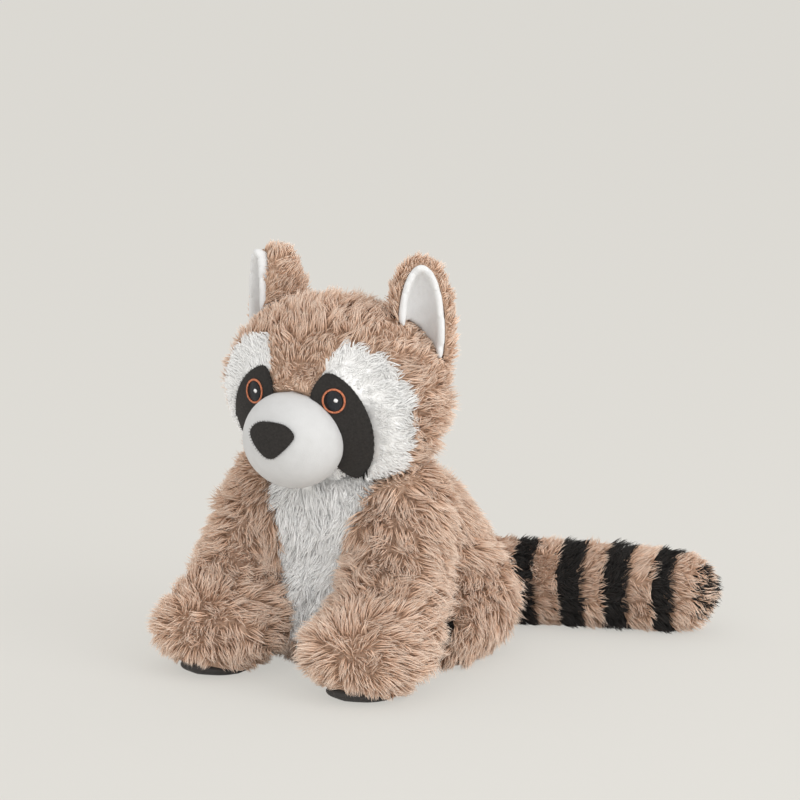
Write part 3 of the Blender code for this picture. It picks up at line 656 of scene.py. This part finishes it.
for side, sign in SIDES:
    points = [(sign * x, z) for x, z in MASK_POINTS]
    mask, mask_curve = lay_patch("mask_suede_" + side, points, HEAD_MIDDLE, HEAD_MIDDLE, suede_bed,
                                 MASK_CELL, MASK_THICKNESS, SUEDE)
    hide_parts("eye_patch_" + side)
    edge_stitches("mask_stitches_" + side, mask_curve, HEAD_MIDDLE, suede_bed, EDGE_THREAD)
mask_outline = np.stack([np.abs(mask_curve[:, 0]), mask_curve[:, 1]], axis=1)
nose, nose_curve = lay_patch("nose_suede", NOSE_POINTS, nose_place, MUZZLE_MIDDLE, nose_bed,
                             NOSE_CELL, NOSE_THICKNESS, SUEDE)
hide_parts("nose")
edge_stitches("nose_stitches", nose_curve, MUZZLE_MIDDLE, nose_bed, EDGE_THREAD)
print("mask %d faces, nose %d faces" % (len(mask.data.polygons), len(nose.data.polygons)))

# %% [markdown]
# ## Embroidered eyes
# Each eye is sewn by machine: a black disc of long satin stitches, a ring of short
# orange ones set like the spokes of a wheel, and a white glint. Every stitch is
# modelled, because a painted ring looks printed. The stitches are laid on a flat
# disc first and then dropped on to the curve of the head.

# %% Eyes
EYE_SIDE = 0.0256
EYE_RISE = 0.0036
RING_RADIUS = 0.0062
RING_WIDTH = 0.0014
RING_STITCHES = 76
PUPIL_RADIUS = 0.0056
THREAD_PITCH = 0.00042
GLINT_RADIUS = 0.00125
GLINT_PLACE = (0.0014, 0.0004)
THREAD_HEIGHT = 0.0009
THREAD_OVERLAP = 1.5
RING_LEAN, RING_LIFT, RING_THREAD = 0.35, 0.0004, 0.00066
PUPIL_SLANT, PUPIL_LIFT = 0.25, 0.0002
GLINT_SLANT, GLINT_LIFT = 1.2, 0.0007
UP = Vector((0, 0, 1))


def satin_disc(bm, radius, middle, height, slant):
    """Long parallel stitches that fill a disc."""
    rows = int(radius / THREAD_PITCH)
    along = Vector((math.cos(slant), math.sin(slant), 0.0))
    step = Vector((-along.y, along.x, 0.0))
    for row in range(-rows, rows + 1):
        off = row * THREAD_PITCH
        half = math.sqrt(max(radius * radius - off * off, 1e-9))
        add_stitch(bm, Vector((*middle, height)) + step * off, along, UP,
                   2 * half, THREAD_PITCH * THREAD_OVERLAP, THREAD_HEIGHT)


def drop_on_head(bm, sign):
    """Carry flat work on to the patch, square to its curve at the eye."""
    spot = Vector((sign * EYE_SIDE, 0.0, HEAD_MIDDLE.z + EYE_RISE))
    spot.y = bed_depth(spot.x, spot.z, HEAD_MIDDLE, suede_bed)
    out = bed_normal(spot, HEAD_MIDDLE, suede_bed)
    side = UP.cross(out).normalized()
    up = out.cross(side)
    for vert in bm.verts:
        flat = spot + side * vert.co.x + up * vert.co.y
        bed = bed_depth(flat.x, flat.z, HEAD_MIDDLE, suede_bed)
        vert.co = Vector((flat.x, bed, flat.z)) + out * vert.co.z


def eye_piece(bm, name, sign, finish, node):
    drop_on_head(bm, sign)
    piece = to_object(bm, name)
    piece.data.materials.append(finish)
    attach(piece, "root")
    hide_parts(node)


for side, sign in SIDES:
    ring = bmesh.new()
    for number in range(RING_STITCHES):
        turn = math.tau * number / RING_STITCHES
        spoke = Vector((math.cos(turn), math.sin(turn), 0.0))
        lean = Vector((math.cos(turn + RING_LEAN), math.sin(turn + RING_LEAN), 0.0))
        add_stitch(ring, spoke * RING_RADIUS + Vector((0, 0, RING_LIFT)), lean, UP,
                   RING_WIDTH, RING_THREAD, THREAD_HEIGHT)
    eye_piece(ring, "eye_ring_thread_" + side, sign, IRIS_THREAD, "eye_ring_" + side)
    disc = bmesh.new()
    satin_disc(disc, PUPIL_RADIUS, (0.0, 0.0), PUPIL_LIFT, PUPIL_SLANT)
    eye_piece(disc, "pupil_thread_" + side, sign, PUPIL_THREAD, "pupil_" + side)
    glint = bmesh.new()
    satin_disc(glint, GLINT_RADIUS, GLINT_PLACE, GLINT_LIFT, GLINT_SLANT)
    eye_piece(glint, "catchlight_thread_" + side, sign, GLINT_THREAD, "catchlight_" + side)
print("eyes: %d stitches in each ring" % RING_STITCHES)

# %% [markdown]
# ## A lock of fur
# Faux fur is seen as locks: small bundles of fibre that taper to a point and lean
# over each other. One lock is modelled here as three thin blades round a common
# middle, each of a different length, and every lock of the toy is a copy of it. It
# carries its own map: which blade, and how far from root to tip.

# %% Lock
BLADES = ((0.0, 0.00, 1.00), (2.1, 0.75, 0.86), (4.2, 0.75, 0.93))
BLADE_WIDTH = 0.62
BLADE_CLOSING = 0.7
LOCK_ROWS = ((0.0, 0.8), (0.45, 1.25), (1.0, 0.0))
LOCK_STRIP = 0.03


def model_lock():
    """Corners with across, thickness and travel, faces, and a map of each corner."""
    bm = bmesh.new()
    blade_of = bm.verts.layers.int.new("blade")
    for number, (turn, spread, tall) in enumerate(BLADES):
        before = set(bm.verts)
        bmesh.ops.create_grid(bm, x_segments=1, y_segments=2, size=0.5)
        blade = [vert for vert in bm.verts if vert not in before]
        for vert in blade:
            travel, wide = LOCK_ROWS[round(2 * vert.co.y + 1)]
            vert.co = Vector((vert.co.x * wide * BLADE_WIDTH,
                              spread * (1.0 - BLADE_CLOSING * travel), travel * tall))
            vert[blade_of] = number
        bmesh.ops.rotate(bm, cent=(0, 0, 0), matrix=Matrix.Rotation(turn, 3, "Z"),
                         verts=blade)
    bmesh.ops.remove_doubles(bm, verts=bm.verts, dist=0.0001)
    bm.verts.index_update()
    corners = np.array([v.co for v in bm.verts])
    faces = [[v.index for v in face.verts] for face in bm.faces]
    maps = []
    for face in bm.faces:
        for vert in face.verts:
            number = vert[blade_of]
            maps.append(((number + 0.5) / len(BLADES), vert.co.z / BLADES[number][2]))
    bm.free()
    return corners, faces, np.array(maps)


LOCK_CORNERS, LOCK_FACES, LOCK_MAP = model_lock()
LOCK_TRIANGLES = sum(len(face) - 2 for face in LOCK_FACES)
print("lock: %d corners, %d triangles" % (len(LOCK_CORNERS), LOCK_TRIANGLES))

# %% [markdown]
# ## Planting the fur
# Each bag gets thousands of roots, spread evenly by area. The solid model says
# which cloth each root belongs to: the nearest panel's colour. A root that lies
# under another bag, a patch or a pad gets no lock. A comb says which way the pile
# lies, a slow swirl breaks it up, and locks lean towards the nearest tuft's tip,
# because real pile clumps.

# %% Planting helpers
FUR_COLOURS = {
    "body_panel": "brown", "seat_panel": "brown", "head_cover": "brown", "ear_back": "brown",
    "front_leg": "brown", "hind_leg": "brown", "tail_base": "brown", "tail_brown": "brown",
    "tail_black": "black", "tail_tip": "black", "hind_paw_pad": "black",
    "chest_bib": "white", "cheek": "white",
}
COVER_PROBE = 0.0030
BAG_DEEPEST = 0.008
THIN_DEEPEST = 0.0035
SWIRL_WAVES = 5
SWIRL_EVEN = 2.2
LOWEST_LOCK = 0.0003
MAP_LOW, MAP_TALL = 0.01, 0.98


def fur_colour(node):
    """The colour of a node's fur, or None where it has no fur."""
    return next((c for stem, c in FUR_COLOURS.items() if node.startswith(stem)), None)


OUTER = [name for name in NODES if not name.startswith(("fibre", "grain", "head_fil"))]
WHOLE = {bag: names + LAID_ON.get(bag, []) for bag, names in BAGS.items()}
OWN_TREES = {bag: tree_of([name for name in OUTER if name in WHOLE[bag]]) for bag in BAGS}
BARE = ("eye_patch", "muzzle", "front_paw_pad", "ear_lining")
LAID = [name for name in OUTER if name.startswith(BARE)]
COVERS = {**bags, "muzzle": muzzle}
REST_TREES = {bag: tree_of([name for name in COVERS if name != bag], COVERS)[0]
              for bag in BAGS}
THIN_TREE, _ = tree_of([name for name in LAID if name != "muzzle"])
BARE_TREE, _ = tree_of(LAID)
PAD_TREE, _ = tree_of([name for name in LAID if name.startswith("front_paw_pad")])


def spread_roots(mesh, count, random):
    """Places on the skin and the way out of it, evenly by area."""
    mesh.calc_loop_triangles()
    corners = np.empty(len(mesh.loop_triangles) * 3, dtype=np.int32)
    mesh.loop_triangles.foreach_get("vertices", corners)
    corners = corners.reshape(-1, 3)
    places = np.empty(len(mesh.vertices) * 3)
    mesh.vertices.foreach_get("co", places)
    places = places.reshape(-1, 3)
    normals = np.array([v.normal for v in mesh.vertices])
    a, b, c = (places[corners[:, i]] for i in range(3))
    areas = np.linalg.norm(np.cross(b - a, c - a), axis=1) / 2
    marks = (np.arange(count) + random.random(count)) / count * areas.sum()
    chosen = np.searchsorted(np.cumsum(areas), marks).clip(0, len(areas) - 1)
    first = np.sqrt(random.random(count))
    second = random.random(count)
    shares = np.stack([1 - first, first * (1 - second), first * second], axis=1)
    roots = np.einsum("ij,ijk->ik", shares, places[corners[chosen]])
    outward = unit(np.einsum("ij,ijk->ik", shares, normals[corners[chosen]]))
    return roots, outward


def panel_of(root, outward, shift, bag):
    """The panel that a root's tip shows, or None where another piece covers it."""
    tree, owner = OWN_TREES[bag]
    probe = Vector(root + outward * COVER_PROBE)
    for cover, deepest in ((REST_TREES[bag], BAG_DEEPEST), (THIN_TREE, THIN_DEEPEST)):
        spot, way, _, far = cover.find_nearest(probe)
        if (probe - spot).dot(way) < 0.0 and far < deepest:
            return None
    return owner[tree.find_nearest(Vector(root + outward * PILE_DEPTH + shift))[2]]


def gaps_to(tree, roots):
    return np.array([tree.find_nearest(Vector(root))[3] for root in roots])


def swirl(places, reach, seed):
    """A slow, smooth, random drift of direction over the cloth."""
    random = np.random.default_rng(seed)
    total = np.zeros_like(places)
    for _ in range(SWIRL_WAVES):
        wave = random.normal(size=(3, 3)) / reach
        total += np.sin(places @ wave + random.random(3) * math.tau)
    return total / SWIRL_EVEN


def tufts_of(roots, colours, every):
    """The leading lock of the tuft that each lock belongs to."""
    leader_of = np.arange(len(roots))
    for kind in sorted(set(colours)):
        members = np.flatnonzero(colours == kind)
        leaders = members[::every]
        finder = KDTree(len(leaders))
        for number, leader in enumerate(leaders):
            finder.insert(roots[leader], number)
        finder.balance()
        for i in members:
            leader_of[i] = leaders[finder.find(roots[i])[1]]
    return leader_of


def grow_locks(name, roots, starts, ends, lengths, widths, moves, outward, random):
    """Copy the modelled lock onto every root, bent from start to end direction."""
    count = len(roots)
    side = unit(np.cross(ends + starts, outward) + 1e-6)
    twist = random.random(count) * math.tau
    rise = unit(np.cross(side, starts + ends))
    across = side * np.cos(twist)[:, None] + rise * np.sin(twist)[:, None]
    thick = rise * np.cos(twist)[:, None] - side * np.sin(twist)[:, None]
    travel = LOCK_CORNERS[:, 2][None, :, None]
    reach = lengths[:, None, None]
    path = roots[:, None, :] + reach * ((travel - travel ** 2 / 2) * starts[:, None, :]
                                        + travel ** 2 / 2 * ends[:, None, :])
    path += travel ** 2 * moves[:, None, :]
    body = (LOCK_CORNERS[:, 0][None, :, None] * across[:, None, :]
            + LOCK_CORNERS[:, 1][None, :, None] * thick[:, None, :])
    places = (path + body * (widths / 2)[:, None, None]).reshape(-1, 3)
    places[:, 2] = np.maximum(places[:, 2], LOWEST_LOCK)
    shift = np.arange(count) * len(LOCK_CORNERS)
    faces = [np.array(face)[None, :] + shift[:, None] for face in LOCK_FACES]
    mesh = bpy.data.meshes.new(name)
    sizes = [len(face) for face in LOCK_FACES]
    order = np.concatenate(faces, axis=1).ravel()
    starts_at = np.cumsum([0] + sizes * count)[:-1]
    mesh.vertices.add(len(places))
    mesh.vertices.foreach_set("co", places.ravel())
    mesh.loops.add(len(order))
    mesh.loops.foreach_set("vertex_index", order.astype(np.int32))
    mesh.polygons.add(len(LOCK_FACES) * count)
    mesh.polygons.foreach_set("loop_start", starts_at.astype(np.int32))
    mesh.polygons.foreach_set("use_smooth", [True] * len(mesh.polygons))
    layer = mesh.uv_layers.new(name="OFBake")
    strips = random.random(count) * (1.0 - LOCK_STRIP)
    maps = np.empty((count, len(LOCK_MAP), 2))
    maps[:, :, 0] = strips[:, None] + LOCK_MAP[None, :, 0] * LOCK_STRIP
    maps[:, :, 1] = MAP_LOW + MAP_TALL * LOCK_MAP[None, :, 1]
    layer.data.foreach_set("uv", maps.ravel())
    mesh.update(calc_edges=True)
    mesh.validate()
    obj = bpy.data.objects.new(name, mesh)
    bpy.context.scene.collection.objects.link(obj)
    return obj


# %% [markdown]
# ## Fur finish
# A lock is painted dark at its root, as the shade where little light reaches, and
# pale at its tip, where the fibre is thin. The colour comes from the lock's own map
# alone, so each lock has its own tone, and fine streaks along it stand for the single fibres.

# %% Fur finish
STREAKS_ACROSS, STREAKS_ALONG = 260.0, 1.5
MOODS_ACROSS = 23.0


def fur_finish(name, root, middle, tip, tone, detail=0.5, sheen=0.1, roughness=0.75):
    material, shader, wire = new_finish(name, roughness, sheen)
    place = wire.node("ShaderNodeUVMap", {"uv_map": "OFBake"})
    strip = wire.node("ShaderNodeSeparateXYZ", None, {0: place})
    travel = strip.other("Y")
    stops = [(0.0, root), (0.45, middle), (1.0, tip)]
    shade = wire.node("ShaderNodeValToRGB", {"stops": stops}, {0: travel})
    stretch = wire.node("ShaderNodeCombineXYZ", None,
                        {"X": strip * STREAKS_ACROSS, "Y": travel * STREAKS_ALONG})
    streak = wire.node("ShaderNodeTexNoise", {"noise_dimensions": "2D"},
                       {"Vector": stretch, "Scale": 1.0, "Detail": 1.0})
    broad = wire.node("ShaderNodeCombineXYZ", None, {"X": strip * MOODS_ACROSS, "Y": 0.5})
    mood = wire.node("ShaderNodeTexNoise", {"noise_dimensions": "2D"},
                     {"Vector": broad, "Scale": 1.0, "Detail": 0.0})
    bright = 1.0 + (streak - 0.5) * detail + (mood - 0.5) * tone
    grey = wire.node("ShaderNodeCombineColor", None, {0: bright, 1: bright, 2: bright})
    shaded = wire.node("ShaderNodeMix", {"data_type": "RGBA", "blend_type": "MULTIPLY"},
                       {0: 1.0, 6: shade, 7: grey}, 2)
    plug(shaded, shader, "Base Color")
    return material


# The first colour of each fur, at the root, is painted shade: the depth of the pile, darker than
# the fibre itself.
FUR = {
    "brown": fur_finish("brown_fur", (0.400, 0.232, 0.140), (0.740, 0.515, 0.375),
                        (0.930, 0.805, 0.700), 0.40, 0.30),
    "white": fur_finish("white_fur", (0.930, 0.925, 0.915), (0.965, 0.962, 0.955),
                        (0.985, 0.985, 0.980), 0.03, 0.06, 0.4),
    "black": fur_finish("black_fur", (0.006, 0.005, 0.005), (0.013, 0.011, 0.010),
                        (0.032, 0.028, 0.026), 0.6),
}


def cloth_finish(name, low, high, size=0.006):
    """The knitted backing that the pile grows from, seen between the locks, dark as painted shade
    in the gaps.
    """
    material, shader, wire = new_finish(name, 0.9)
    place = wire.node("ShaderNodeTexCoord", None, None, 3)
    patches = wire.node("ShaderNodeTexNoise", None,
                        {"Vector": place, "Scale": 1.0 / size, "Detail": 4.0})
    plug(wire.mix(patches, colour(*low), colour(*high)), shader, "Base Color")
    fine = wire.node("ShaderNodeTexNoise", None, {"Vector": place, "Scale": 900.0, "Detail": 2.0})
    bump = wire.node("ShaderNodeBump", None, {"Height": fine, "Strength": 0.6, "Distance": 0.0006})
    plug(bump, shader, "Normal")
    return material


# The backing colours match the painted-shade roots of their fur: painted shade in the gaps between
# the locks.
SHADED_BACKING = {
    "brown": cloth_finish("brown_backing", (0.380, 0.250, 0.175), (0.520, 0.360, 0.265)),
    "white": cloth_finish("white_backing", (0.900, 0.895, 0.885), (0.950, 0.945, 0.940)),
    "black": cloth_finish("black_backing", (0.008, 0.007, 0.006), (0.020, 0.017, 0.016)),
}


THROAT_LOW = 0.100
THROAT_BACK = -0.050
THROAT_HALF = 0.024
CHIN_TOP = 0.124
CHIN_BACK = -0.055


def in_throat(x, y, z):
    """The front of the neck, where the bib runs up under the muzzle."""
    return (z > THROAT_LOW) & (y < THROAT_BACK) & (abs(x) < THROAT_HALF)


def paint_backing(obj, bag):
    """Give each face of the bag the backing of the nearest panel."""
    order = list(SHADED_BACKING)
    for kind in order:
        obj.data.materials.append(SHADED_BACKING[kind])
    tree, owner = OWN_TREES[bag]
    for face in obj.data.polygons:
        kind = fur_colour(owner[tree.find_nearest(face.center + face.normal * PILE_DEPTH)[2]])
        if bag == "head" and face.center.z < CHIN_TOP and face.center.y < CHIN_BACK:
            kind = "white"
        if bag == "torso" and in_throat(*face.center):
            kind = "white"
        face.material_index = order.index(kind or ("white" if bag == "head" else "brown"))


# %% Combs
FACE_CROWN = np.array(MUZZLE_MIDDLE) + np.array((0.0, 0.0, 0.004))
FACE_BACK = -0.045
PAW_CROWN = np.array((0.050, -0.112, 0.036))
PAW_CROWN_RADIUS = 0.022
ARM_FOOT = 0.045
COMB_CHANGE = 0.03
PAD_FUR_TOP = 0.022
SIDE_LEAN = 0.35
TAIL_TURN = math.radians(27)
TAIL_WAY = np.array((math.cos(TAIL_TURN), math.sin(TAIL_TURN), 0.0))
DOWN = np.array((0.0, 0.0, -1.0))


def comb_head(places):
    away = unit(places - FACE_CROWN)
    behind = np.clip((places[:, 1:2] - FACE_BACK) / COMB_CHANGE, 0.0, 1.0)
    return away + behind * (DOWN * 0.8)


def comb_torso(places):
    out = places * np.array((1.0, 1.0, 0.0))
    return DOWN * 1.0 + unit(out) * 0.25 + np.array((0.0, 0.25, 0.0))


def comb_front_leg(sign):
    def comb(places):
        away = places - PAW_CROWN * np.array((sign, 1, 1))
        away = away / np.maximum(np.linalg.norm(away, axis=1, keepdims=True), PAW_CROWN_RADIUS)
        high = np.clip((places[:, 2:3] - ARM_FOOT) / COMB_CHANGE, 0.0, 1.0)
        arm = DOWN + np.array((SIDE_LEAN * sign, 0.15, 0.0))
        low = np.clip((PAD_FUR_TOP - places[:, 2:3]) / PAD_FUR_TOP, 0.0, 1.0)
        return away * (1 - high) + arm * high - DOWN * low * 0.6
    return comb


def comb_hind_leg(places):
    return np.tile(DOWN * 0.8 + np.array((0.0, -0.7, 0.0)), (len(places), 1))


def comb_tail(places):
    return np.tile(TAIL_WAY, (len(places), 1))


def comb_ear(sign):
    def comb(places):
        return np.tile(np.array((SIDE_LEAN * sign, 0.25, 1.0)), (len(places), 1))
    return comb


COMBS = {"torso": comb_torso, "head": comb_head, "tail": comb_tail}
for side, sign in SIDES:
    COMBS["front_leg_" + side] = comb_front_leg(sign)
    COMBS["hind_leg_" + side] = comb_hind_leg
    COMBS["ear_" + side] = comb_ear(sign)


# %% Grow the fur
LOCKS_PER_SQUARE_METRE = {"brown": 670000, "white": 950000, "black": 760000}
DENSEST = max(LOCKS_PER_SQUARE_METRE.values())
TAIL_LEAN = -0.0010
TIP_BROWN = 0.60
LENGTHS = {"torso": 0.0132, "head": 0.0122, "tail": 0.0090,
           "front_leg": 0.0128, "hind_leg": 0.0128, "ear": 0.0078}
LOCK_WIDTH = {"brown": 0.00106, "white": 0.00112, "black": 0.00106}
SHORT_REACH = {"head": (0.026, 0.26), "front_leg": (0.018, 0.32), "ear": (0.006, 0.30)}
SKIRT = 0.0026
WHITE_CALM = 0.50
WHITE_LENGTH = {"head": 0.92, "torso": 0.80}
WHITE_LIFT = 0.75
TUFT_LOCKS = 22
TUFT_STRAY = {"torso": 0.42, "head": 0.34, "tail": 0.22,
              "front_leg": 0.38, "hind_leg": 0.40, "ear": 0.32}
TUFT_PULL = 0.46
SWIRL_REACH, SWIRL_SHARE = 0.014, 0.28
LIFT_LEAST, LIFT_SPREAD = 0.85, 0.45
START_LEAN, START_STRAY = 0.75, 0.20
END_LIFT, END_DROOP, END_STRAY = 0.45, 0.15, 0.30
LENGTH_LEAST, LENGTH_SPREAD = 0.60, 0.55
WIDTH_LEAST, WIDTH_SPREAD = 0.7, 0.6
FIRST_SEED = 100


def recoloured(bag, roots, colours):
    """White chin and throat, and no fur on the masks or beside the pads."""
    brown = colours == "brown"
    if bag == "head":
        face = roots[:, 1] < CHIN_BACK
        colours[face & brown & (roots[:, 2] < CHIN_TOP)] = "white"
        for i in np.flatnonzero(face):
            if within(mask_outline, abs(roots[i, 0]), roots[i, 2]):
                colours[i] = ""
    if bag == "torso":
        colours[in_throat(*roots.T) & brown] = "white"
    if bag.startswith("front_leg"):
        colours[gaps_to(PAD_TREE, roots) < SKIRT] = ""
    return colours


def grow(bag, number):
    random = np.random.default_rng(FIRST_SEED + number)
    kin = bag.replace("_left", "").replace("_right", "")
    mesh = bags[bag].data
    area = sum(face.area for face in mesh.polygons)
    thin = 1.0
    roots, outward = spread_roots(mesh, int(area * DENSEST * thin), random)
    shift = TAIL_WAY * TAIL_LEAN if bag == "tail" else np.zeros(3)
    panels = [panel_of(root, out, shift, bag) for root, out in zip(roots, outward)]
    colours = np.array([fur_colour(panel) or "" if panel else "" for panel in panels])
    tip = np.array([panel == "tail_tip" for panel in panels])
    colours[tip & (random.random(len(roots)) < TIP_BROWN)] = "brown"
    colours = recoloured(bag, roots, colours)
    chance = random.random(len(roots)) * DENSEST
    wanted = chance < np.array([LOCKS_PER_SQUARE_METRE.get(kind, 0) for kind in colours])
    order = random.permutation(np.flatnonzero(wanted))
    roots, outward, colours = roots[order], outward[order], colours[order]
    count = len(roots)
    leader_of = tufts_of(roots, colours, TUFT_LOCKS)
    white = colours == "white"
    calm = np.where(white, WHITE_CALM, 1.0)
    stray = random.normal(size=(count, 3))[leader_of] * TUFT_STRAY[kin] * calm[:, None]
    way = COMBS[bag](roots) + swirl(roots, SWIRL_REACH, number) * SWIRL_SHARE + stray
    way = way - outward * np.sum(way * outward, axis=1, keepdims=True)
    lift = LIFT_LEAST + LIFT_SPREAD * random.random(count)[leader_of][:, None]
    lift = lift * np.where(white, WHITE_LIFT, 1.0)[:, None]
    jitter = random.normal(size=(count, 3))
    starts = unit(outward * lift + way * START_LEAN + jitter * START_STRAY)
    ends = unit(outward * END_LIFT * lift + way + DOWN * END_DROOP + jitter * END_STRAY)
    lengths = LENGTHS[kin] * (LENGTH_LEAST + LENGTH_SPREAD * random.random(count))
    lengths = lengths * np.where(white, WHITE_LENGTH.get(bag, 1.0), 1.0)
    if kin in SHORT_REACH:
        reach, least = SHORT_REACH[kin]
        near = np.minimum(gaps_to(BARE_TREE, roots) / reach, 1.0)
        lengths = lengths * (least + (1.0 - least) * near)
    widths = np.array([LOCK_WIDTH[kind] for kind in colours])
    widths = widths * (WIDTH_LEAST + WIDTH_SPREAD * random.random(count))
    widths = widths * 1.0
    tips = roots + lengths[:, None] * (starts + ends) / 2
    moves = (tips[leader_of] - tips) * TUFT_PULL
    for kind in sorted(set(colours)):
        mine = np.flatnonzero(colours == kind)
        halves = {"": mine}
        if bag == "torso" and kind == "brown":
            halves = {"_left": mine[roots[mine, 0] >= 0], "_right": mine[roots[mine, 0] < 0]}
        for half, mine in halves.items():
            facts = (roots, starts, ends, lengths, widths, moves, outward)
            piece = grow_locks("%s_fur_%s%s" % (bag, kind, half),
                               *(fact[mine] for fact in facts), random)
            piece.data.materials.append(FUR[kind])
            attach(piece, "root")
            triangles = LOCK_TRIANGLES * len(mine)
            print("%s: %d locks, %d triangles" % (piece.name, len(mine), triangles))


for number, bag in enumerate(BAGS):
    paint_backing(bags[bag], bag)
    grow(bag, number)
